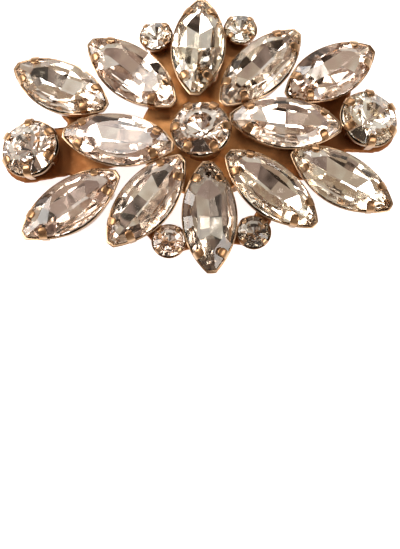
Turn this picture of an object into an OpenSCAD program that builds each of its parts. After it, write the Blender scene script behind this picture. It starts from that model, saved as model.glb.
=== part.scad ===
// Shoe clip: a domed cluster of claw-set crystals on a pierced back plate,
// with a folded spring clip behind it. It lies face up, on the clip's back.

/* [Dome] */
// Height of the dome's crown, where the girdles of the marquise stones lie
dome_top = 8.75; // [8.5:0.05:10]
// Radius that the dome is bent to
dome_r = 110; // [90:5:160]

/* [Marquise settings] */
// Length of a marquise stone
marquise_l = 15; // [14.6:0.1:15.2]
// Width of a marquise stone
marquise_w = 7; // [6.6:0.1:7.2]
// Width of the blunt end at each tip of a marquise stone
marquise_tip = 0.5; // [0.3:0.1:0.8]
// Straight edges along each side of a marquise outline
marquise_edges = 6; // [4:2:8]
// Height of a marquise crown above its girdle
marquise_crown = 1.35; // [1.1:0.05:1.6]
// Depth of a marquise stone below its girdle
marquise_depth = 2.25; // [2:0.05:2.4]

/* [Round settings] */
// Width of the centre stone
centre_d = 7.7; // [7.3:0.1:7.8]
// Height of the centre stone above the dome
centre_lift = 0.8; // [0.6:0.1:1.2]
// Width of the two end stones
end_d = 7.8; // [7.4:0.1:7.9]
// Width of the four small round stones
small_d = 4.1; // [3.9:0.1:4.3]
// Height of a round crown, as a share of the stone's width
round_crown = 0.2; // [0.16:0.01:0.24]
// Depth of a round stone, as a share of its width
round_depth = 0.33; // [0.3:0.01:0.34]
// Width of a round cup's foot, as a share of the stone's width
round_foot = 0.83; // [0.8:0.01:0.92]
// Claws on the centre cup and the two end cups
large_claws = 6; // [6:1:8]
// Claws on each small round cup
small_claws = 4; // [4:1:5]

/* [Stones and cups] */
// Width of the table, as a share of the stone
table_share = 0.56; // [0.5:0.01:0.62]
// Height of the band around the girdle
girdle_h = 0.3; // [0.2:0.05:0.4]
// Clearance between a stone and its cup
clearance = 0.1; // [0.06:0.01:0.1]
// Thickness of a cup's wall at its rim
wall = 0.4; // [0.35:0.05:0.45]
// Width of a marquise cup's floor, as a share of its rim
floor_share = 0.74; // [0.7:0.02:0.8]
// Height of a cup, from its floor to the girdle
cup_h = 2.6; // [2.55:0.05:2.8]
// Width of a claw
claw_w = 0.9; // [0.7:0.05:1]
// Reach of a claw over the crown
claw_reach = 0.95; // [0.8:0.05:1.1]

/* [Back plate] */
// Thickness of the stamped plate
plate_t = 0.7; // [0.6:0.05:0.8]
// Radius of the plate's solid middle
plate_r = 8.8; // [8.4:0.1:9]
// Width of the bar to the two end stones, at the middle
bar_w = 5.6; // [5:0.1:6]
// Width of the bar under the two end stones
bar_end_w = 8; // [7:0.1:8.4]

/* [Spring clip] */
// Width of the folded strip
clip_w = 12; // [10:0.5:13]
// Thickness of the strip
clip_t = 0.8; // [0.6:0.05:0.9]
// Space between the two arms
clip_gap = 2.8; // [2.5:0.1:2.8]
// Length of the flat arms behind the fold
clip_l = 15; // [14:0.5:16]
// Distance of the fold's centre behind the middle
clip_back = 9.3; // [8.5:0.1:9.5]
// Height of the grip ridge above the lower arm
grip_rise = 1.5; // [1:0.1:1.7]
// Length of the grip ridge
ridge_l = 0.8; // [0.5:0.1:1]
// Distance from the front of the upper arm to the foot of the ridge's ramp
ramp_l = 3; // [2.6:0.1:3.4]
// Reach of the lip past the upper arm
lip_l = 1; // [0.6:0.1:1.4]

/* [Hidden] */
// Columns of the two tables below
NAME = 0;
X = 1;
Y = 2;
TURN = 3;
LIFT = 4;
SIZE = 3;
CLAWS = 5;
FIRST = 6;

// Marquise settings: name, x, y, direction of the outer tip, lift above the dome
marquises = [
    ["top",            -0.4,  12.9,   86.5, 0],
    ["top_right",       8.5,   9.7,   47,   0],
    ["far_top_right",  18.6,   9.6,   35,  -0.3],
    ["right",          12.0,   1.0,   -2,   0.4],
    ["far_low_right",  19.9,  -6.9,  -29,   0],
    ["low_right",       9.9,  -8.8,  -39.5, 0],
    ["bottom",          1.2, -13.0,  -88,   0],
    ["low_left",       -7.7, -10.6, -130,   0],
    ["far_low_left",  -18.4, -10.7, -148,   0],
    ["left",          -11.7,  -1.6,  171,   0.4],
    ["far_top_left",  -20.1,   7.3,  149.5, 0],
    ["top_left",       -9.9,   8.9,  139.5, 0]
];
// Round settings: name, x, y, stone's width, lift above the dome, claws, direction of the first claw
rounds = [
    ["centre",           0,    -0.4, centre_d, centre_lift, large_claws, 0],
    ["left_end",       -24.3,  -2.0, end_d,    0,           large_claws, 30],
    ["right_end",       24.0,   2.5, end_d,    0,           large_claws, 30],
    ["small_top_left",  -6.5,  15.3, small_d, -1.2,         small_claws, 45],
    ["small_top_right",  5.7,  16.4, small_d, -1.2,         small_claws, 45],
    ["small_low_left",  -4.5, -16.0, small_d, -1.2,         small_claws, 45],
    ["small_low_right",  7.4, -14.7, small_d, -1.2,         small_claws, 45]
];
// Ribs of the plate: from x, y to x, y, width where it starts, width where it ends
ribs = [
    [  0,    0,   -24.3,  -2,   bar_w, bar_end_w],
    [  0,    0,    24,     2.5, bar_w, bar_end_w],
    [-14,   -1,   -20.1,   7.3, 4,   4],
    [-14,   -1,   -18.4, -10.7, 4,   4],
    [ 17,    2,    19.3,   8.5, 6.5, 5],
    [ 16,   -1,    19.9,  -6.9, 5,   5],
    [  7,   -2.5,  14.5,  -4,   4.5, 4.5],
    [ -3,    6,    -6.5,  15.3, 3,   3],
    [  3,    6,     5.7,  16.4, 3,   3],
    [ -0.4, 12.9,  -6.5,  15.3, 3,   3],
    [ -0.4, 12.9,   5.7,  16.4, 3,   3],
    [  1.2,-14.5,  -4.5, -16,   2.6, 2.6],
    [ -7.7,-12.6,  -4.5, -16,   2.6, 2.6],
    [  1.2,-14.5,   7.4, -14.7, 2.6, 2.6],
    [  9.9, -9.6,   7.4, -14.7, 2.6, 2.6]
];

rim_w = wall + clearance;
// The plate lies this far below the dome on which the girdles lie
plate_drop = cup_h + 0.3;
clip_top = 2 * clip_t + clip_gap;
// Underside of the plate's middle, just clear of the clip
plate_bottom = clip_top + 0.1;
metal = "#C9976F";
crystal = "#E4D9D2";
steel = "#B98F6C";

// Height of the dome above a point of the plan
function dome(x, y) = dome_top - (x * x + y * y) / (2 * dome_r);

// Points of a marquise outline of half length a and half width b:
// two arcs that end at the corners of the blunt tips
function marquise_points(a, b) =
    let (
        rise = b - marquise_tip / 2 * b / (marquise_w / 2),
        r = (a * a + rise * rise) / (2 * rise),
        half = asin(a / r),
        n = marquise_edges,
        arc = [for (i = [0:n]) let (t = half * (1 - 2 * i / n)) [r * sin(t), r * cos(t) - r + b]]
    )
    concat(arc, -arc);

// Puts a part at x, y, lifted above the dome and tilted to lie along it
module seat(x, y, lift) {
    away = atan2(y, x);
    slope = asin(norm([x, y]) / dome_r);
    translate([x, y, dome(x, y) + lift])
        rotate(away)
            rotate([0, slope, 0])
                rotate(-away)
                    children();
}

// Points of a regular outline of n corners
function ring(r, n) = [for (i = [0:n - 1]) r * [cos((i + 0.5) * 360 / n), sin((i + 0.5) * 360 / n)]];

// Sides of a round stone and its cup
function round_sides(d) = d > 6 ? 16 : 12;

// The points of a flat outline, raised to height z
function at_height(points, z) = [for (p = points) [p[0], p[1], z]];

// A cut stone, faceted between the outline of its girdle, its table and its culet
module cut_stone(outline, table, culet, crown, depth) {
    corners = concat(
        at_height(table, crown),
        at_height(outline, girdle_h / 2),
        at_height(outline, -girdle_h / 2),
        at_height(culet, -depth)
    );
    hull() polyhedron(corners, [[for (i = [0:len(corners) - 1]) i]]);
}

// A pointed stone with a keel along its back, larger all round by grow
module marquise_cut(grow) {
    a = marquise_l / 2 + grow;
    b = marquise_w / 2 + grow;
    keel = marquise_l / 6;
    cut_stone(
        marquise_points(a, b), marquise_points(a * table_share, b * table_share),
        [[-keel, 0], [keel, 0]], marquise_crown + grow, marquise_depth + grow
    );
}

// A round stone, whose table has half as many sides as its girdle
module round_cut(d, grow) {
    r = d / 2 + grow;
    n = round_sides(d);
    cut_stone(
        ring(r, n), ring(r * table_share, n / 2),
        [[0, 0]], d * round_crown + grow, d * round_depth + grow
    );
}

// A claw that starts down the wall at the origin and folds over towards -X
module claw(foot) {
    rotate([90, 0, 0])
        linear_extrude(claw_w, center = true)
            polygon([
                [-wall / 2, -foot], [0, -foot], [wall, 0], [wall * 0.8, 0.7],
                [-wall, 1.3], [-claw_reach, 1.35], [-claw_reach, 0.9], [-wall, 0.3]
            ]);
}

// A flared cup from its rim down to its floor, closed all through
module cup_body(rim, foot, height) {
    corners = concat(at_height(rim, 0), at_height(foot, -height));
    hull() polyhedron(corners, [[for (i = [0:len(corners) - 1]) i]]);
}

module marquise_cup() {
    a = marquise_l / 2 + rim_w * 1.3;
    b = marquise_w / 2 + rim_w;
    claw_x = a * 0.7;
    claw_y = b * 0.56;
    scallop_r = 3.6;
    scallop_drop = 0.5;
    difference() {
        union() {
            cup_body(marquise_points(a, b), marquise_points(a, b) * floor_share, cup_h + plate_t);
            for (side = [-1, 1], end = [-1, 1])
                translate([end * claw_x, side * claw_y, 0])
                    rotate(side * (90 - end * 30))
                        claw(cup_h * 0.6);
        }
        marquise_cut(clearance);
        // Scallops of the rim between the claws
        for (side = [-1, 1])
            translate([0, side * b, scallop_r - scallop_drop])
                rotate([90, 0, 0])
                    cylinder(r = scallop_r, h = 2 * wall, center = true, $fn = 16);
    }
}

module round_cup(d, height, claws, first) {
    r = d / 2 + rim_w;
    n = round_sides(d);
    small = min(1, d / 6.5);
    difference() {
        union() {
            cup_body(ring(r, n), ring(d * round_foot / 2, n), height + plate_t);
            for (i = [0:claws - 1])
                rotate(first + i * 360 / claws)
                    translate([r - wall / 2, 0, 0])
                        scale(small) claw(height * 0.6);
        }
        round_cut(d, clearance);
    }
}

// One rib of the plate, bent along the dome in a few steps
module rib(start, end, widths) {
    steps = norm(end - start) > 12 ? 3 : 1;
    for (i = [0:steps - 1])
        hull()
            for (t = [i / steps, (i + 1) / steps])
                let (at = start + (end - start) * t)
                    seat(at[0], at[1], -plate_drop - plate_t)
                        rotate(22.5)
                            cylinder(d = widths[0] + (widths[1] - widths[0]) * t, h = plate_t, $fn = 8);
}

module back_plate() {
    middle_top = dome(plate_r, 0) - plate_drop;
    difference() {
        union() {
            translate([0, 0, plate_bottom]) cylinder(r = plate_r, h = middle_top - plate_bottom, $fn = 32);
            for (r = ribs) rib([r[0], r[1]], [r[2], r[3]], [r[4], r[5]]);
        }
        // Flat seat of the clip
        translate([0, 0, plate_bottom - plate_r]) cube(2 * plate_r, center = true);
    }
}

module setting_frame() {
    color(metal) {
        back_plate();
        for (row = marquises)
            seat(row[X], row[Y], row[LIFT]) rotate(row[TURN]) marquise_cup();
        for (row = rounds)
            seat(row[X], row[Y], row[LIFT])
                round_cup(row[SIZE], plate_drop + row[LIFT], row[CLAWS], row[FIRST]);
    }
}

module marquise_stone(row) {
    color(crystal) seat(row[X], row[Y], row[LIFT]) rotate(row[TURN]) marquise_cut(0);
}

module round_stone(row) {
    color(crystal) seat(row[X], row[Y], row[LIFT]) round_cut(row[SIZE], 0);
}

// Side of the folded strip: y runs to the right and z up
module clip_side() {
    fold_r = clip_top / 2;
    front = clip_back - clip_l;
    // Underside of the lower arm: lip, grip ridge, ramp and flat
    bends = [
        [-lip_l, grip_rise * 0.3], [ridge_l / 2, grip_rise], [1.5 * ridge_l, grip_rise],
        [ramp_l, 0], [clip_l, 0]
    ];
    union() {
        translate([front, 0])
            polygon(concat(bends, [for (i = [len(bends) - 1:-1:0]) bends[i] + [0, clip_t]]));
        translate([front, clip_t + clip_gap]) square([clip_l, clip_t]);
        difference() {
            translate([clip_back, fold_r]) circle(fold_r, $fn = 48);
            translate([clip_back, fold_r]) circle(fold_r - clip_t, $fn = 48);
            translate([clip_back - 2 * fold_r, -fold_r]) square([2 * fold_r, 4 * fold_r]);
        }
    }
}

module spring_clip() {
    color(steel)
        rotate([90, 0, 90])
            translate([0, 0, -clip_w / 2])
                linear_extrude(clip_w)
                    clip_side();
}

setting_frame();
for (row = marquises)
    marquise_stone(row);
for (row = rounds)
    round_stone(row);
spring_clip();
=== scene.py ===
from math import acos, asin, atan2, cos, copysign, hypot, pi, radians, sin, sqrt

import bmesh
import bpy
from mathutils import Matrix, Vector


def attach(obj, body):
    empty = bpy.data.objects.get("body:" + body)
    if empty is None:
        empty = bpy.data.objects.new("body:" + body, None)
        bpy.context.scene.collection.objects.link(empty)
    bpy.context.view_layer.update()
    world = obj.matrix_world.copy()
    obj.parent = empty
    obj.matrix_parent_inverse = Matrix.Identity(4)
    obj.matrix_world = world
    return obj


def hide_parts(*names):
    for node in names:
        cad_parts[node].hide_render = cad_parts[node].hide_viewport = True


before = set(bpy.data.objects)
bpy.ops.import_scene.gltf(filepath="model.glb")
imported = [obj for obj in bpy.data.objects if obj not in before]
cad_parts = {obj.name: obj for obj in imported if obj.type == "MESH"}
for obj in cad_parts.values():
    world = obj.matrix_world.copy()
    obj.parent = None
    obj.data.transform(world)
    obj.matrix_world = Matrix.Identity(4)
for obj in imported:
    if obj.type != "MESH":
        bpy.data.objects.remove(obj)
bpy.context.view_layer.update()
mm = 0.001  # pieces are modelled in millimetres and shrunk to metres when they are finished


# The dome that the stones lie on, and where each one sits

dome = {"top": 8.75, "bend": 110.0}
plateDrop = 2.9  # the plate lies this far below the dome

# name: x, y, direction of the outer tip, lift
marquises = {
    "top": (-0.4, 12.9, 86.5, 0.0),
    "top_right": (8.5, 9.7, 47.0, 0.0),
    "far_top_right": (18.6, 9.6, 35.0, -0.3),
    "right": (12.0, 1.0, -2.0, 0.4),
    "far_low_right": (19.9, -6.9, -29.0, 0.0),
    "low_right": (9.9, -8.8, -39.5, 0.0),
    "bottom": (1.2, -13.0, -88.0, 0.0),
    "low_left": (-7.7, -10.6, -130.0, 0.0),
    "far_low_left": (-18.4, -10.7, -148.0, 0.0),
    "left": (-11.7, -1.6, 171.0, 0.4),
    "far_top_left": (-20.1, 7.3, 149.5, 0.0),
    "top_left": (-9.9, 8.9, 139.5, 0.0),
}

# name: x, y, stone's width, lift, claws, direction of the first claw, turn of the stone in its cup
rounds = {
    "centre": (0.0, -0.4, 7.7, 0.8, 6, 0.0, 11.0),
    "left_end": (-24.3, -2.0, 7.8, 0.0, 6, 30.0, 12.0),
    "right_end": (24.0, 2.5, 7.8, 0.0, 6, 30.0, 19.0),
    "small_top_left": (-6.5, 15.3, 4.1, -1.2, 4, 45.0, 17.0),
    "small_top_right": (5.7, 16.4, 4.1, -1.2, 4, 45.0, 5.0),
    "small_low_left": (-4.5, -16.0, 4.1, -1.2, 4, 45.0, 10.0),
    "small_low_right": (7.4, -14.7, 4.1, -1.2, 4, 45.0, 12.0),
}

# each setting is soldered a little out of level, and its stone sits so in its cup too: degrees about the
# stone's long and short axis
leans = {
    "top": (-3, 2.5), "top_right": (-5.5, -4), "far_top_right": (6, 4.5), "right": (0.5, 2.5),
    "far_low_right": (3.5, -6), "low_right": (-5.5, -1), "bottom": (1, 2), "low_left": (6, 4.5),
    "far_low_left": (5.5, -2), "left": (-1.5, -2.5), "far_top_left": (1.5, 4), "top_left": (-3.5, -2),
    "centre": (-6, -3.5), "left_end": (-5, -6), "right_end": (-0.5, 6), "small_top_left": (-5.5, -6),
    "small_top_right": (1.5, -3.5), "small_low_left": (-3, 2.5), "small_low_right": (-6, -5),
}
cupShare = 0.6  # share of a stone's lean that its cup takes


def domeHeight(x, y):
    return dome["top"] - (x * x + y * y) / (2 * dome["bend"])


def seatAt(x, y, lift, turn):
    # a setting's place: on the dome, leaning outwards to lie along it
    away = atan2(y, x)
    slope = asin(hypot(x, y) / dome["bend"])
    lean = Matrix.Rotation(away, 4, "Z") @ Matrix.Rotation(slope, 4, "Y") @ Matrix.Rotation(-away, 4, "Z")
    place = Matrix.Translation((x, y, domeHeight(x, y) + lift))
    return place @ lean @ Matrix.Rotation(radians(turn), 4, "Z")


def leanOf(name, share=1.0):
    aboutLong, aboutShort = leans[name]
    aboutLong, aboutShort = radians(aboutLong * share), radians(aboutShort * share)
    return Matrix.Rotation(aboutLong, 4, "X") @ Matrix.Rotation(aboutShort, 4, "Y")


# Camera, at the photograph's angle

view = {
    "place": (-0.141, -119.88, 306.8),
    "elevation": 71.78,
    "lens": 148.98,
}

cameraData = bpy.data.cameras.new("camera")
cameraData.lens = view["lens"]
cameraData.sensor_width = 36.0
cameraData.clip_start = 0.01
camera = bpy.data.objects.new("camera", cameraData)
camera.location = Vector(view["place"]) * mm
camera.rotation_euler = (radians(90 - view["elevation"]), 0, 0)
bpy.context.scene.collection.objects.link(camera)
bpy.context.scene.camera = camera
print("camera ready")


# Soft studio light: large panels, and a warm room that shows in the facets

panels = {
    # name: place and aim in millimetres, width, height, watts, colour
    "key": ((-250, 40, 250), (0, 0, 8), 190, 190, 1.0, (1.0, 0.97, 0.93)),
    "window": ((-60, 133, 340), (0, 0, 8), 60, 70, 0.09, (1.0, 0.98, 0.95)),
    "fill": ((210, -120, 240), (0, 0, 8), 160, 110, 0.35, (1.0, 0.95, 0.9)),
    "back": ((30, 260, 190), (0, 0, 8), 240, 60, 0.35, (0.95, 0.97, 1.0)),
}
room = {
    "strength": 0.78,
    "low": (0.94, 0.9, 0.84),  # the band near the floor
    "lowEnds": (0.2, 0.45),  # heights where the band starts to give way, and where it is gone
    # places and colours of the patches, from dark screens to lit walls
    "patches": (
        (0.35, (0.04, 0.028, 0.022)), (0.42, (0.5, 0.37, 0.32)), (0.49, (0.62, 0.5, 0.4)),
        (0.55, (0.8, 0.75, 0.64)), (0.63, (1.0, 0.98, 0.95)),
    ),
    "patchScale": 1.5,
    "patchOffset": (1.3, 0.4, 2.2),
}

for panelName, (place, aim, width, height, watts, colour) in panels.items():
    lightData = bpy.data.lights.new(panelName, "AREA")
    lightData.shape = "RECTANGLE"
    lightData.size = width * mm
    lightData.size_y = height * mm
    lightData.energy = watts
    lightData.color = colour
    light = bpy.data.objects.new(panelName, lightData)
    light.location = Vector(place) * mm
    light.rotation_euler = (Vector(aim) - Vector(place)).to_track_quat("-Z", "Y").to_euler()
    bpy.context.scene.collection.objects.link(light)


def joinNodes(tree, *pairs):
    # each pair is an output and the input that it feeds
    for output, entry in pairs:
        tree.links.new(output, entry)


def setStops(ramp, stops):
    # stops of a colour ramp: place and colour
    while len(ramp.elements) < len(stops):
        ramp.elements.new(1.0)
    for element, (place, colour) in zip(ramp.elements, stops):
        element.position = place
        element.color = (*colour, 1.0)


roomWorld = bpy.data.worlds.new("room")
roomWorld.use_nodes = True
bpy.context.scene.world = roomWorld
tree = roomWorld.node_tree
background = tree.nodes["Background"]
background.inputs["Strength"].default_value = room["strength"]
direction = tree.nodes.new("ShaderNodeTexCoord")
shift = tree.nodes.new("ShaderNodeMapping")
shift.inputs["Location"].default_value = room["patchOffset"]
patches = tree.nodes.new("ShaderNodeTexNoise")
patches.inputs["Scale"].default_value = room["patchScale"]
patches.inputs["Detail"].default_value = 0.5
patchColour = tree.nodes.new("ShaderNodeValToRGB")
setStops(patchColour.color_ramp, room["patches"])
heightOf = tree.nodes.new("ShaderNodeSeparateXYZ")
lowBand = tree.nodes.new("ShaderNodeMapRange")
lowBand.inputs["From Min"].default_value, lowBand.inputs["From Max"].default_value = room["lowEnds"]
mixLow = tree.nodes.new("ShaderNodeMix")
mixLow.data_type = "RGBA"
mixLow.inputs["A"].default_value = (*room["low"], 1.0)
joinNodes(
    tree,
    (direction.outputs["Generated"], shift.inputs["Vector"]),
    (shift.outputs["Vector"], patches.inputs["Vector"]),
    (patches.outputs["Fac"], patchColour.inputs["Fac"]),
    (direction.outputs["Generated"], heightOf.inputs["Vector"]),
    (heightOf.outputs["Z"], lowBand.inputs["Value"]),
    (lowBand.outputs["Result"], mixLow.inputs["Factor"]),
    (patchColour.outputs["Color"], mixLow.inputs["B"]),
    (mixLow.outputs["Result"], background.inputs["Color"]),
)
bpy.context.scene.view_settings.view_transform = "Standard"

# light turns many times inside a pointed stone before it comes out
tracing = bpy.context.scene.cycles
tracing.max_bounces = 32
tracing.glossy_bounces = 16
tracing.transmission_bounces = 16
print("light ready")


# Effects that several finishes share

def newEffect(name, entries, exits):
    group = bpy.data.node_groups.new(name, "ShaderNodeTree")
    for socketName, kind, value in entries:
        socket = group.interface.new_socket(socketName, in_out="INPUT", socket_type=kind)
        if value is not None:
            socket.default_value = value
    for socketName, kind in exits:
        group.interface.new_socket(socketName, in_out="OUTPUT", socket_type=kind)
    return group, group.nodes.new("NodeGroupInput"), group.nodes.new("NodeGroupOutput")


def mathNode(tree, operation, first, second, clamp=False):
    # a Math node whose inputs are outputs of other nodes or plain numbers
    node = tree.nodes.new("ShaderNodeMath")
    node.operation = operation
    node.use_clamp = clamp
    for entry, value in zip(node.inputs, (first, second)):
        if isinstance(value, (int, float)):
            entry.default_value = value
        else:
            tree.links.new(value, entry)
    return node.outputs["Value"]


def noiseNode(tree, coordinates, scale, detail, roughness=0.5, stretch=None):
    # a Noise Texture, stretched along its axes where asked
    if stretch:
        mapping = tree.nodes.new("ShaderNodeMapping")
        mapping.inputs["Scale"].default_value = stretch
        tree.links.new(coordinates, mapping.inputs["Vector"])
        coordinates = mapping.outputs["Vector"]
    noise = tree.nodes.new("ShaderNodeTexNoise")
    noise.inputs["Detail"].default_value = detail
    noise.inputs["Roughness"].default_value = roughness
    tree.links.new(coordinates, noise.inputs["Vector"])
    if isinstance(scale, (int, float)):
        noise.inputs["Scale"].default_value = scale
    else:
        tree.links.new(scale, noise.inputs["Scale"])
    return noise.outputs["Fac"]


def reachSquared(tree, parts):
    # squared distance from the middle, seen from above
    squares = [mathNode(tree, "MULTIPLY", parts.outputs[axis], parts.outputs[axis]) for axis in ("X", "Y")]
    return mathNode(tree, "ADD", *squares)


# how deep a point lies below the dome of the stones: 0 from Top above it, 1 at Depth below that;
# a Depth under 0 counts upwards
recess, entry, leave = newEffect(
    "recess",
    [
        ("Coordinates", "NodeSocketVector", None),
        ("Top", "NodeSocketFloat", 0.0002),
        ("Depth", "NodeSocketFloat", 0.0028),
    ],
    [("Mask", "NodeSocketFloat")],
)
parts = recess.nodes.new("ShaderNodeSeparateXYZ")
recess.links.new(entry.outputs["Coordinates"], parts.inputs["Vector"])
sag = mathNode(recess, "DIVIDE", reachSquared(recess, parts), 2 * dome["bend"] * mm)
surface = mathNode(recess, "SUBTRACT", dome["top"] * mm, sag)
below = mathNode(recess, "SUBTRACT", surface, parts.outputs["Z"])
fromTop = mathNode(recess, "ADD", below, entry.outputs["Top"])
sunk = mathNode(recess, "DIVIDE", fromTop, entry.outputs["Depth"], clamp=True)
recess.links.new(sunk, leave.inputs["Mask"])

# how far a point lies from the middle, seen from above: 0 up to Start, 1 from Stop
outward, entry, leave = newEffect(
    "outward",
    [
        ("Coordinates", "NodeSocketVector", None),
        ("Start", "NodeSocketFloat", 0.006),
        ("Stop", "NodeSocketFloat", 0.018),
    ],
    [("Mask", "NodeSocketFloat")],
)
parts = outward.nodes.new("ShaderNodeSeparateXYZ")
outward.links.new(entry.outputs["Coordinates"], parts.inputs["Vector"])
distance = mathNode(outward, "POWER", reachSquared(outward, parts), 0.5)
ringSpread = outward.nodes.new("ShaderNodeMapRange")
outward.links.new(entry.outputs["Start"], ringSpread.inputs["From Min"])
outward.links.new(entry.outputs["Stop"], ringSpread.inputs["From Max"])
outward.links.new(distance, ringSpread.inputs["Value"])
outward.links.new(ringSpread.outputs["Result"], leave.inputs["Mask"])

# fine wheel marks that polishing leaves, as a height and a mask
polishMarks, entry, leave = newEffect(
    "polishMarks",
    [("Coordinates", "NodeSocketVector", None), ("Scale", "NodeSocketFloat", 900.0)],
    [("Height", "NodeSocketFloat"), ("Mask", "NodeSocketFloat")],
)
longMarks, crossMarks = (
    noiseNode(polishMarks, entry.outputs["Coordinates"], entry.outputs["Scale"], 3.0, 0.6, stretch)
    for stretch in ((1.0, 7.0, 2.0), (6.0, 1.0, 3.0))
)
polishMarks.links.new(mathNode(polishMarks, "ADD", longMarks, crossMarks), leave.inputs["Height"])
polishMarks.links.new(mathNode(polishMarks, "MULTIPLY", longMarks, crossMarks), leave.inputs["Mask"])

# thin uneven film from handling, as a mask
handling, entry, leave = newEffect(
    "handling",
    [
        ("Coordinates", "NodeSocketVector", None),
        ("Scale", "NodeSocketFloat", 260.0),
        ("Amount", "NodeSocketFloat", 1.0),
    ],
    [("Mask", "NodeSocketFloat")],
)
cloud = noiseNode(handling, entry.outputs["Coordinates"], entry.outputs["Scale"], 4.0, 0.55)
spread = handling.nodes.new("ShaderNodeMapRange")
spread.inputs["From Min"].default_value = 0.38
spread.inputs["From Max"].default_value = 0.68
handling.links.new(cloud, spread.inputs["Value"])
cloudShare = mathNode(handling, "MULTIPLY", spread.outputs["Result"], entry.outputs["Amount"], clamp=True)
handling.links.new(cloudShare, leave.inputs["Mask"])


def useEffect(tree, group, coordinates, **values):
    # places a shared effect in a finish, with its own values
    node = tree.nodes.new("ShaderNodeGroup")
    node.node_tree = group
    tree.links.new(coordinates, node.inputs["Coordinates"])
    for key, value in values.items():
        node.inputs[key].default_value = value
    return node


def mixColours(tree, factor, first, second):
    node = tree.nodes.new("ShaderNodeMix")
    node.data_type = "RGBA"
    tree.links.new(factor, node.inputs["Factor"])
    for entry, value in ((node.inputs["A"], first), (node.inputs["B"], second)):
        if isinstance(value, tuple):
            entry.default_value = (*value, 1.0)
        else:
            tree.links.new(value, entry)
    return node.outputs["Result"]


def between(tree, factor, low, high):
    node = tree.nodes.new("ShaderNodeMapRange")
    node.inputs["To Min"].default_value = low
    node.inputs["To Max"].default_value = high
    tree.links.new(factor, node.inputs["Value"])
    return node.outputs["Result"]


def newFinish(name, **sockets):
    # a material with one Principled BSDF whose plain values are set on its own sockets
    finish = bpy.data.materials.new(name)
    finish.use_nodes = True
    shader = finish.node_tree.nodes["Principled BSDF"]
    for key, value in sockets.items():
        shader.inputs[key.replace("_", " ")].default_value = value
    coordinates = finish.node_tree.nodes.new("ShaderNodeTexCoord").outputs["Object"]
    return finish, finish.node_tree, shader, coordinates


def addBump(tree, shader, height, strength, distance):
    bump = tree.nodes.new("ShaderNodeBump")
    bump.inputs["Strength"].default_value = strength
    bump.inputs["Distance"].default_value = distance
    tree.links.new(height, bump.inputs["Height"])
    tree.links.new(bump.outputs["Normal"], shader.inputs["Normal"])


def platedMetal(name, untonedColour, tonedColour, roughLow, roughHigh, marks, *tonings):
    # each toning makes the plating darker somewhere, some of them as painted shade: a shared effect, its
    # share and its values
    finish, tree, shader, coordinates = newFinish(name, Metallic=1.0)
    film = useEffect(tree, handling, coordinates, Scale=330.0, Amount=0.8)
    wheel = useEffect(tree, polishMarks, coordinates, Scale=marks)
    darker = mathNode(tree, "MULTIPLY", film.outputs["Mask"], 0.35)
    for effect, share, values in tonings:
        mask = useEffect(tree, effect, coordinates, **values).outputs["Mask"]
        darker = mathNode(tree, "ADD", darker, mathNode(tree, "MULTIPLY", mask, share), clamp=True)
    tree.links.new(mixColours(tree, darker, untonedColour, tonedColour), shader.inputs["Base Color"])
    dull = mathNode(tree, "ADD", film.outputs["Mask"], wheel.outputs["Mask"], clamp=True)
    tree.links.new(between(tree, dull, roughLow, roughHigh), shader.inputs["Roughness"])
    addBump(tree, shader, wheel.outputs["Height"], strength=0.18, distance=0.00002)
    return finish


# cups are painted browner towards the plate, as painted shade in the recess under the stones, and on top of
# their claws, as a painted dark reflection of the room
cupMetal = platedMetal(
    "cupMetal", (0.52, 0.36, 0.23), (0.3, 0.165, 0.08), 0.18, 0.34, 1400.0,
    (recess, 1.0, {"Depth": 0.0014}), (recess, 0.8, {"Top": 0.0006, "Depth": -0.0004}),
)
# the plate is painted darker outwards from the middle: painted shade on its wings, which leaves the middle
# lighter; its handling toning is tone that varies at random
plateMetal = platedMetal(
    "plateMetal", (0.8, 0.4, 0.155), (0.25, 0.097, 0.034), 0.4, 0.6, 800.0,
    (outward, 0.85, {}), (handling, 0.22, {"Scale": 900.0, "Amount": 1.0}),
)
clipMetal = platedMetal(
    "clipMetal", (0.72, 0.54, 0.4), (0.6, 0.41, 0.28), 0.22, 0.4, 700.0, (outward, 1.0, {}),
)

# clear cut glass, with a little film in the roughness
cutGlass, tree, shader, coordinates = newFinish(
    "cutGlass", Base_Color=(0.985, 0.965, 0.935, 1.0), IOR=1.56, Transmission_Weight=1.0, Metallic=0.0,
)
film = useEffect(tree, handling, coordinates, Scale=420.0, Amount=1.0)
tree.links.new(between(tree, film.outputs["Mask"], 0.0, 0.05), shader.inputs["Roughness"])

foilColours = ((0.95, 0.863, 0.825), (0.918, 0.893, 0.808), (0.84, 0.76, 0.69))  # rosy, greenish, filmed
# how bright the foil of some stones is, as a share of the others
foilShares = {"small_low_right": 0.62, "bottom": 0.81, "left_end": 0.92}


def foilBacking(name, shine):
    # the silvered back of a stone, seen through the glass
    finish, tree, shader, coordinates = newFinish(name, Metallic=1.0)
    rosy, greenish, filmed = (tuple(shine * part for part in colour) for colour in foilColours)
    film = useEffect(tree, handling, coordinates, Scale=500.0, Amount=0.7)
    hue = useEffect(tree, handling, coordinates, Scale=75.0, Amount=1.0)
    silver = mixColours(tree, hue.outputs["Mask"], rosy, greenish)
    silver = mixColours(tree, film.outputs["Mask"], silver, filmed)
    tree.links.new(silver, shader.inputs["Base Color"])
    tree.links.new(between(tree, film.outputs["Mask"], 0.03, 0.1), shader.inputs["Roughness"])
    waves = noiseNode(tree, coordinates, 500.0, detail=0.0)
    addBump(tree, shader, waves, strength=1.0, distance=0.00004)
    return finish


foilBack = foilBacking("foilBack", 1)

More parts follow.
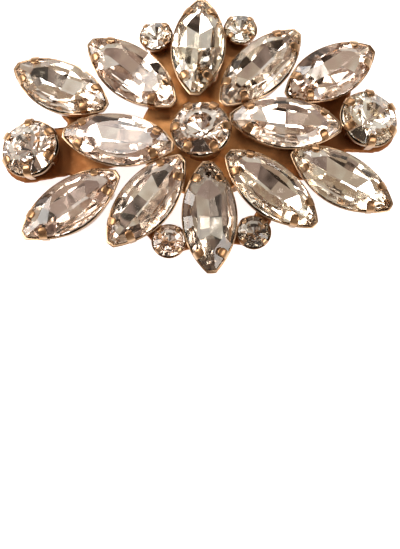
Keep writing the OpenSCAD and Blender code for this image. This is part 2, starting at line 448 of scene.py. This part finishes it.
paleFloor, tree, shader, coordinates = newFinish(
    "paleFloor", Roughness=0.85, Emission_Color=(1.0, 1.0, 1.0, 1.0), Emission_Strength=0.85,
)
paperCloud = noiseNode(tree, coordinates, 9.0, detail=3.0)
paper = mixColours(tree, paperCloud, (0.93, 0.925, 0.92), (0.9, 0.895, 0.89))
tree.links.new(paper, shader.inputs["Base Color"])
print("finishes ready")


# Making and finishing pieces

def finishPiece(name, shape, finishes, smoothUnder=None):
    # turns a bmesh in millimetres into a piece that rides on the part
    bmesh.ops.scale(shape, vec=(mm, mm, mm), verts=shape.verts[:])
    mesh = bpy.data.meshes.new(name)
    shape.to_mesh(mesh)
    shape.free()
    for finish in finishes:
        mesh.materials.append(finish)
    if smoothUnder:
        mesh.shade_smooth()
        mesh.set_sharp_from_angle(angle=radians(smoothUnder))
    piece = bpy.data.objects.new(name, mesh)
    bpy.context.scene.collection.objects.link(piece)
    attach(piece, "root")
    return piece


def keepShape(shape):
    # a mesh to be placed several times
    mesh = bpy.data.meshes.new("pattern")
    shape.to_mesh(mesh)
    shape.free()
    return mesh


def placeShape(shape, pattern, place):
    # adds a kept shape at a place
    first = len(shape.verts)
    shape.from_mesh(pattern)
    shape.verts.ensure_lookup_table()
    bmesh.ops.transform(shape, matrix=place, verts=shape.verts[first:])


# Stones: blanks that are ground flat, facet by facet

marquiseStone = {
    "length": 15.1, "width": 7.4, "girdle": 0.3, "crown": 0.9, "depth": 1.8,
    "tip": 1.1,  # width of the blunt tip
    "table": 0.66,  # share of the width
    # bands of the back: turn towards the tip, then distance and depth, as shares,
    # where a band starts and where it ends
    "bands": ((8, 1, 0, 0.5, 0.62), (16, 0.5, 0.62, 0, 1), (50, 1, 0, 0.6, 0.5)),
}
roundStone = {
    "sides": 16, "girdle": 0.3, "grown": 0.35,  # grown is how far the stone covers its cup
    "table": 0.46, "crown": 0.2, "depth": 0.32,  # shares of the width
}


def marquiseArc(halfLength, halfWidth):
    # radius of the two arcs of a marquise outline, and the angle from its side to its tip
    rise = halfWidth * (1 - marquiseStone["tip"] / marquiseStone["width"])
    radius = (halfLength ** 2 + rise ** 2) / (2 * rise)
    return radius, asin(halfLength / radius)


def marquisePoint(turn, halfLength, halfWidth):
    # point of a marquise outline: turn goes once round it, from the tip at +X
    radius, spread = marquiseArc(halfLength, halfWidth)
    lean = spread * cos(turn)
    if abs(sin(turn)) < 1e-6:
        return Vector((copysign(halfLength, cos(turn)), 0, 0))
    return Vector((radius * sin(lean), copysign(radius * cos(lean) - radius + halfWidth, sin(turn)), 0))


def grind(stone, point, normal):
    # cuts the stone flat by a plane, and closes the cut with a facet
    everything = stone.verts[:] + stone.edges[:] + stone.faces[:]
    cut = bmesh.ops.bisect_plane(
        stone, geom=everything, dist=0.0004, plane_co=point, plane_no=normal, clear_outer=True
    )
    rim = [part for part in cut["geom_cut"] if isinstance(part, bmesh.types.BMEdge)]
    if len(rim) > 2:
        bmesh.ops.edgeloop_fill(stone, edges=rim)


def grindFacet(stone, away, outer, outerHeight, inner, innerHeight):
    # a sloping facet that faces away: it is level at two distances from the middle, each with its height
    rise = innerHeight - outerHeight
    normal = Vector((cos(away) * abs(rise), sin(away) * abs(rise), copysign(outer - inner, rise)))
    grind(stone, Vector((cos(away) * outer, sin(away) * outer, outerHeight)), normal)


def edgeOf(corners, index):
    # direction that an edge of the outline faces, and its distance from the middle
    start, end = corners[index], corners[(index + 1) % len(corners)]
    away = atan2(-(end - start).x, (end - start).y)
    return away, start.x * cos(away) + start.y * sin(away)


def cutStone(corners, cut, crown, depth, backFacets):
    # a blank is ground to the outline, with a crown facet for every side of it and a table;
    # then come the facets of the back, which is foiled
    stone = bmesh.new()
    bmesh.ops.create_cube(stone, size=1)
    widest = max(corner.length for corner in corners)
    bmesh.ops.scale(stone, vec=(2.4 * widest, 2.4 * widest, 4 * depth), verts=stone.verts[:])
    band = cut["girdle"] / 2
    for index in range(len(corners)):
        away, reach = edgeOf(corners, index)
        grindFacet(stone, away, reach, 0, reach, 1)
        grindFacet(stone, away, reach, band, reach * cut["table"], crown)
    grind(stone, Vector((0, 0, crown)), Vector((0, 0, 1)))
    for away, outer, low, inner, high in backFacets:
        reach = max(corner.x * cos(away) + corner.y * sin(away) for corner in corners)
        lowest, highest = (-band - share * (depth - band) for share in (low, high))
        grindFacet(stone, away, reach * outer, lowest, reach * inner, highest)
    bmesh.ops.remove_doubles(stone, verts=stone.verts[:], dist=0.002)
    bmesh.ops.recalc_face_normals(stone, faces=stone.faces[:])
    for facet in stone.faces:
        facet.material_index = 1 if facet.calc_center_median().z < -band / 2 else 0
    return keepShape(stone)


def makeStone(name, pattern, place):
    stone = bmesh.new()
    placeShape(stone, pattern, place @ leanOf(name))
    foil = foilBacking("foil_" + name, foilShares[name]) if name in foilShares else foilBack
    piece = finishPiece("cut_" + name, stone, (cutGlass, foil))
    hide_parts("stone_" + name)


nearTip = 0.001  # turn of the corners where a tip is blunted
halfOutline = [
    marquisePoint(
        min(max(acos(1 - step / 4), nearTip), pi - nearTip),
        marquiseStone["length"] / 2, marquiseStone["width"] / 2,
    )
    for step in range(9)
]
longCorners = halfOutline + [-corner for corner in halfOutline]
longBack = [
    (radians(side * (90 - end * turn)), *rest)
    for turn, *rest in marquiseStone["bands"] for side in (-1, 1) for end in (-1, 1)
]
longPattern = cutStone(longCorners, marquiseStone, marquiseStone["crown"], marquiseStone["depth"], longBack)
for name, (x, y, turn, lift) in marquises.items():
    makeStone(name, longPattern, seatAt(x, y, lift, turn))

for name, (x, y, width, lift, claws, firstClaw, stoneTurn) in rounds.items():
    corner = Vector(((width + roundStone["grown"]) / 2, 0, 0))
    steps = range(roundStone["sides"])
    ring = [Matrix.Rotation(2 * pi * (step + 0.5) / roundStone["sides"], 3, "Z") @ corner for step in steps]
    ringBack = [(edgeOf(ring, index)[0], 1, 0, 0, 1) for index in steps]
    crown, depth = width * roundStone["crown"], width * roundStone["depth"]
    makeStone(name, cutStone(ring, roundStone, crown, depth, ringBack), seatAt(x, y, lift, stoneTurn))
print("stones ready")


# Cups and claws, all soldered to the plate

marquiseCup = {
    "rim": 0.24,  # how far the rim's outer edge stands off the stone
    "tipRim": 2.2,  # the same at the tips, as a share of the rim
    "scallop": 0.3,  # dip of the rim between the claws
    "sideDip": 0.56,  # how far towards the tips the long dip reaches, as a share of the half length
    "tipDip": 0.85,  # where the short dip at the tip starts
    "segments": 64,
    # share of the outline, distance from the stone, height, share of the scallop
    "levels": (
        (0.76, 0.24, -3.25, 0), (0.78, 0.24, -3.1, 0), (0.87, 0.24, -1.9, 0), (0.95, 0.22, -1.0, 0.3),
        (1.0, 0.16, -0.5, 0.8), (1.0, 0.2, -0.24, 1), (1.0, 0.24, -0.12, 1), (1.0, 0.23, -0.04, 1),
        (1.0, 0.17, 0.01, 1), (1.0, 0.09, 0.0, 1), (1.0, 0.03, -0.06, 1), (1.0, 0.02, -0.3, 0.5),
        (0.88, 0.0, -0.95, 0), (0.4, 0.0, -2.3, 0),
    ),
}
roundCup = {
    "rim": 0.24,
    "foot": 0.83,  # share of the stone's width
    "fullClaws": 6.5,  # stones under this width have smaller claws
    "scallop": 0.3,
    "segments": 64,
}
claw = {
    "segments": 14,
    "along": 0.7,  # place of a marquise claw, as a share of the cup's half length
    "across": 0.55,  # the same of its half width
    "turn": 30.0,  # degrees that it is turned towards the tip
    "squareness": 0.4,  # 1 is an oval section, and less has flatter sides
    # distance out, height, width, thickness
    "path": (
        # up the outside of the cup
        (-0.2, -1.7, 0.9, 0.2), (-0.08, -0.9, 1.0, 0.28), (0.0, -0.2, 1.06, 0.3),
        (0.03, 0.2, 1.1, 0.3), (-0.02, 0.46, 1.14, 0.32), (-0.17, 0.66, 1.18, 0.34),
        # over the stone's edge
        (-0.42, 0.84, 1.2, 0.36), (-0.74, 0.98, 1.18, 0.36), (-1.0, 1.06, 1.06, 0.32),
        (-1.18, 1.1, 0.78, 0.26), (-1.26, 1.1, 0.44, 0.18),
    ),
}


def loftRings(shape, rings, segments):
    # a closed solid through a row of rings, each a function from a turn to a point
    verts = bmesh.ops.create_circle(shape, cap_ends=False, segments=segments, radius=1)["verts"]
    turnOf = {vert: atan2(vert.co.y, vert.co.x) for vert in verts}
    edges = firstEdges = list({edge for vert in verts for edge in vert.link_edges})
    for vert in verts:
        vert.co = rings[0](turnOf[vert])
    for ring in rings[1:]:
        grown = bmesh.ops.extrude_edge_only(shape, edges=edges)["geom"]
        newTurns = {}
        for vert in [part for part in grown if isinstance(part, bmesh.types.BMVert)]:
            others = [edge.other_vert(vert) for edge in vert.link_edges]
            newTurns[vert] = next(turnOf[other] for other in others if other in turnOf)
            vert.co = ring(newTurns[vert])
        turnOf = newTurns
        edges = list({
            edge for vert in turnOf for edge in vert.link_edges if edge.other_vert(vert) in turnOf
        })
    bmesh.ops.holes_fill(shape, edges=firstEdges, sides=0)
    bmesh.ops.holes_fill(shape, edges=edges, sides=0)
    bmesh.ops.recalc_face_normals(shape, faces=shape.faces[:])


def clawRing(index):
    # an oval section across the claw's path, square to it
    path = claw["path"]
    x, z, width, thickness = path[index]
    before, after = path[max(index - 1, 0)], path[min(index + 1, len(path) - 1)]
    along = Vector((after[0] - before[0], 0, after[1] - before[1])).normalized()
    across = Vector((along.z, 0, -along.x))

    def point(turn):
        # a power under 1 flattens the sides of the oval
        deep = copysign(abs(cos(turn)) ** claw["squareness"], cos(turn))
        wide = copysign(abs(sin(turn)) ** claw["squareness"], sin(turn))
        return Vector((x, 0, z)) + across * (thickness / 2 * deep) + Vector((0, width / 2 * wide, 0))

    return point


clawShape = bmesh.new()
loftRings(clawShape, [clawRing(index) for index in range(len(claw["path"]))], claw["segments"])
clawPattern = keepShape(clawShape)


def longRing(share, out, height, follow):
    # one level of a marquise cup; its rim dips between the claws
    halfLength = marquiseStone["length"] / 2
    halfWidth = marquiseStone["width"] / 2

    def point(turn):
        at = marquisePoint(turn, halfLength + out * marquiseCup["tipRim"], halfWidth + out) * share
        along = abs(at.x) / (halfLength * share)
        dip = max(0.0, 1 - (along / marquiseCup["sideDip"]) ** 2)
        tipDip = max(0.0, along - marquiseCup["tipDip"]) / (1 - marquiseCup["tipDip"])
        at.z = height - follow * marquiseCup["scallop"] * (dip + 0.25 * tipDip)
        return at

    return point


cupShape = bmesh.new()
loftRings(cupShape, [longRing(*level) for level in marquiseCup["levels"]], marquiseCup["segments"])
halfLength = marquiseStone["length"] / 2 + marquiseCup["rim"] * marquiseCup["tipRim"]
halfWidth = marquiseStone["width"] / 2 + marquiseCup["rim"]
for end in (-1, 1):
    for side in (-1, 1):
        spot = Matrix.Translation((end * claw["along"] * halfLength, side * claw["across"] * halfWidth, 0))
        facing = Matrix.Rotation(radians(side * (90 - end * claw["turn"])), 4, "Z")
        placeShape(cupShape, clawPattern, spot @ facing)
longCupPattern = keepShape(cupShape)


def roundRing(reach, height, drop, claws, firstClaw):
    # one level of a round cup; drop is how far its rim dips between the claws
    return lambda turn: Vector((
        reach * cos(turn), reach * sin(turn),
        height - drop * (0.5 - 0.5 * cos(claws * (turn - radians(firstClaw)))),
    ))


def roundCupShape(width, height, claws, firstClaw):
    cup = bmesh.new()
    foot = width * roundCup["foot"]
    stone = (width + roundStone["grown"]) / 2
    rim = stone + roundCup["rim"]
    small = min(1.0, width / roundCup["fullClaws"])
    drop = roundCup["scallop"] * small
    levels = (
        # foot
        (foot / 2 - 0.02, -height - 0.6, 0), (foot / 2, -height - 0.4, 0),
        (foot / 2 * 0.97, -height + 0.3, 0), ((foot / 2 + rim) / 2 - 0.05, -height * 0.5, 0),
        # rim
        (rim - 0.1, -0.6, 0.6 * drop), (rim - 0.04, -0.24, drop), (rim, -0.12, drop),
        (rim - 0.01, -0.04, drop), (rim - 0.07, 0.01, drop), (stone + 0.09, 0.0, drop),
        # seat of the stone
        (stone + 0.03, -0.06, drop), (stone + 0.02, -0.3, 0.5 * drop),
        (stone * 0.88, -0.35 - width * 0.1, 0), (stone * 0.3, -width * 0.365, 0),
    )
    loftRings(cup, [roundRing(*level, claws, firstClaw) for level in levels], roundCup["segments"])
    for step in range(claws):
        facing = Matrix.Rotation(radians(firstClaw) + 2 * pi * step / claws, 4, "Z")
        spot = Matrix.Translation((rim - 0.08, 0, 0))
        placeShape(cup, clawPattern, facing @ spot @ Matrix.Scale(small, 4))
    return keepShape(cup)


cups = bmesh.new()
for name, (x, y, turn, lift) in marquises.items():
    placeShape(cups, longCupPattern, seatAt(x, y, lift, turn) @ leanOf(name, cupShare))
for name, (x, y, width, lift, claws, firstClaw, stoneTurn) in rounds.items():
    cup = roundCupShape(width, plateDrop + lift, claws, firstClaw - stoneTurn)
    placeShape(cups, cup, seatAt(x, y, lift, stoneTurn) @ leanOf(name, cupShare))
cupPiece = finishPiece("cups_and_claws", cups, (cupMetal,), smoothUnder=42)
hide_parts("setting_frame")
print("cups ready")


# Back plate: ribs and a middle, melted together and bent along the dome

plate = {
    "thickness": 0.7,
    "middle": 8.8,  # radius of the disc in the middle
    "bottom": 4.5,  # height of the disc's underside
    "grain": 0.28,  # size of the voxels that melt the ribs together
    "softening": 4,  # rounds of smoothing after that
    "bendStep": 1.5,  # distance between the cuts at which a rib bends
    # from x, y to x, y, width where it starts, width where it ends
    "ribs": (
        (0, 0, -24.3, -2, 5.6, 8), (0, 0, 24, 2.5, 5.6, 8), (-14, -1, -20.1, 7.3, 4, 4),
        (-14, -1, -18.4, -10.7, 4, 4), (17, 2, 19.3, 8.5, 6.5, 5), (16, -1, 19.9, -6.9, 5, 5),
        (7, -2.5, 14.5, -4, 4.5, 4.5), (-3, 6, -6.5, 15.3, 3, 3), (3, 6, 5.7, 16.4, 3, 3),
        (-0.4, 12.9, -6.5, 15.3, 3, 3), (-0.4, 12.9, 5.7, 16.4, 3, 3),
        (1.2, -14.5, -4.5, -16, 2.6, 2.6), (-7.7, -12.6, -4.5, -16, 2.6, 2.6),
        (1.2, -14.5, 7.4, -14.7, 2.6, 2.6), (9.9, -9.6, 7.4, -14.7, 2.6, 2.6),
    ),
}


def addRib(shape, x0, y0, x1, y1, w0, w1):
    # a tapered bar with round ends, cut across so that it can bend
    bar = bmesh.new()
    for x, y, width in ((x0, y0, w0), (x1, y1, w1)):
        bmesh.ops.create_cone(
            bar, cap_ends=True, segments=32, radius1=width / 2, radius2=width / 2,
            depth=plate["thickness"], matrix=Matrix.Translation((x, y, 0)),
        )
    hull = bmesh.ops.convex_hull(bar, input=bar.verts[:])
    bmesh.ops.delete(bar, geom=list(set(hull["geom_interior"] + hull["geom_unused"])), context="VERTS")
    start, end = Vector((x0, y0, 0)), Vector((x1, y1, 0))
    steps = max(1, int((end - start).length / plate["bendStep"]))
    for step in range(steps + 1):
        everything = bar.verts[:] + bar.edges[:] + bar.faces[:]
        place = start.lerp(end, step / steps)
        bmesh.ops.bisect_plane(bar, geom=everything, plane_co=place, plane_no=end - start)
    for vert in bar.verts:
        vert.co.z += domeHeight(vert.co.x, vert.co.y) - plateDrop - plate["thickness"] / 2
    placeShape(shape, keepShape(bar), Matrix.Identity(4))


ribs = bmesh.new()
for rib in plate["ribs"]:
    addRib(ribs, *rib)
middleTop = domeHeight(plate["middle"], 0) - plateDrop
bmesh.ops.create_cone(
    ribs, cap_ends=True, segments=96, radius1=plate["middle"], radius2=plate["middle"],
    depth=middleTop - plate["bottom"],
    matrix=Matrix.Translation((0, 0, (middleTop + plate["bottom"]) / 2)),
)
platePiece = finishPiece("back_plate", ribs, (plateMetal,))
melt = platePiece.modifiers.new("melt", "REMESH")
melt.mode = "VOXEL"
melt.voxel_size = plate["grain"] * mm
melt.use_smooth_shade = True
soften = platePiece.modifiers.new("soften", "SMOOTH")
soften.factor = 0.5
soften.iterations = plate["softening"]
melted = bpy.data.meshes.new_from_object(platePiece.evaluated_get(bpy.context.evaluated_depsgraph_get()))
platePiece.modifiers.clear()
platePiece.data = melted
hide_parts("setting_frame")
print("plate ready", len(melted.polygons))


# Spring clip: a stamped strip, folded back on itself, with a grip ridge near its mouth

clip = {
    "width": 12.0,
    "thickness": 0.8,
    "gap": 2.8,  # between the two arms
    "reach": 15.0,  # length of the arms, from the fold
    "fold": 9.3,  # place of the fold's centre along Y
    "ridgeHeight": 1.5,
    "ridge": 0.8,  # width of the ridge's top
    "ramp": 3.0,  # where the lower arm starts to rise to the ridge
    "lip": 1.0,  # how far the lower arm ends past the upper one
    "corner": 2.2,  # rounding of the two free ends
    "beads": (2.7, 0.8, 0.26),  # place across, half width and height of the two stamped beads
    "beadStart": 1.8,  # distance of the beads from the strip's ends
    "bend": 0.45,  # how softly the strip is bent
    "rows": 150,
    "columns": 36,
    "edge": 0.12,  # rounding along the strip's edges
}


def clipSide():
    # outer side of the strip as points of Y and Z, from the end of the upper arm to the lip
    front = clip["fold"] - clip["reach"]
    foldRadius = clip["thickness"] + clip["gap"] / 2
    turns = [pi * step / 24 for step in range(25)]
    fold = [(clip["fold"] + foldRadius * sin(turn), foldRadius * (1 + cos(turn))) for turn in turns]
    return [
        (front, 2 * foldRadius), *fold, (front + clip["ramp"], 0),
        (front + 1.5 * clip["ridge"], clip["ridgeHeight"]),
        (front + 0.5 * clip["ridge"], clip["ridgeHeight"]),
        (front - clip["lip"], 0.3 * clip["ridgeHeight"]),
    ]


def walk(points, distance):
    # point at a distance along a path
    for start, end in zip(points, points[1:]):
        step = hypot(end[0] - start[0], end[1] - start[1])
        if distance <= step:
            break
        distance -= step
    share = min(1.0, distance / step)
    return Vector((0, start[0] + (end[0] - start[0]) * share, start[1] + (end[1] - start[1]) * share))


clipPath = clipSide()
clipLength = sum(
    hypot(end[0] - start[0], end[1] - start[1]) for start, end in zip(clipPath, clipPath[1:])
)
beadPlace, beadHalf, beadHeight = clip["beads"]
strip = bmesh.new()
bmesh.ops.create_grid(strip, x_segments=clip["columns"], y_segments=clip["rows"], size=0.5)
for vert in strip.verts:
    distance = (vert.co.y + 0.5) * clipLength
    here, ahead, behind = (
        walk(clipPath, min(max(distance + shift, 0.0), clipLength))
        for shift in (0, clip["bend"], -clip["bend"])
    )
    toEnd = max(0.0, clip["corner"] - min(distance, clipLength - distance))
    narrow = clip["corner"] - sqrt(max(0.0, clip["corner"] ** 2 - toEnd ** 2))
    across = vert.co.x * (clip["width"] - 2 * narrow)
    inward = (ahead - behind).normalized().cross(Vector((1, 0, 0)))
    rise = max(0.0, 1 - (abs(abs(across) - beadPlace) / beadHalf) ** 2) ** 2
    fade = min(1.0, max(0.0, min(distance, clipLength - distance) - clip["beadStart"]))
    vert.co = (here + ahead + behind) / 3 + inward * rise * fade * beadHeight + Vector((across, 0, 0))
bmesh.ops.recalc_face_normals(strip, faces=strip.faces[:])
bmesh.ops.solidify(strip, geom=strip.faces[:], thickness=clip["thickness"])
bmesh.ops.recalc_face_normals(strip, faces=strip.faces[:])
sharp = [
    edge for edge in strip.edges
    if len(edge.link_faces) == 2 and edge.calc_face_angle() > radians(60)
]
bmesh.ops.bevel(
    strip, geom=sharp, offset=clip["edge"], offset_type="OFFSET", segments=2, profile=0.5,
    affect="EDGES", material=-1,
)
clipPiece = finishPiece("folded_spring_clip", strip, (clipMetal,), smoothUnder=50)
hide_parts("spring_clip")
print("clip ready", [round(value, 2) for value in clipPiece.dimensions / mm])


# Pale floor

floorReach = 3000  # from its middle to its sides
floorShape = bmesh.new()
bmesh.ops.create_grid(floorShape, x_segments=2, y_segments=2, size=floorReach)
bmesh.ops.scale(floorShape, vec=(mm, mm, mm), verts=floorShape.verts[:])
floorMesh = bpy.data.meshes.new("floor")
floorShape.to_mesh(floorMesh)
floorShape.free()
floorMesh.materials.append(paleFloor)
floor = bpy.data.objects.new("floor", floorMesh)
bpy.context.scene.collection.objects.link(floor)
print("floor ready")
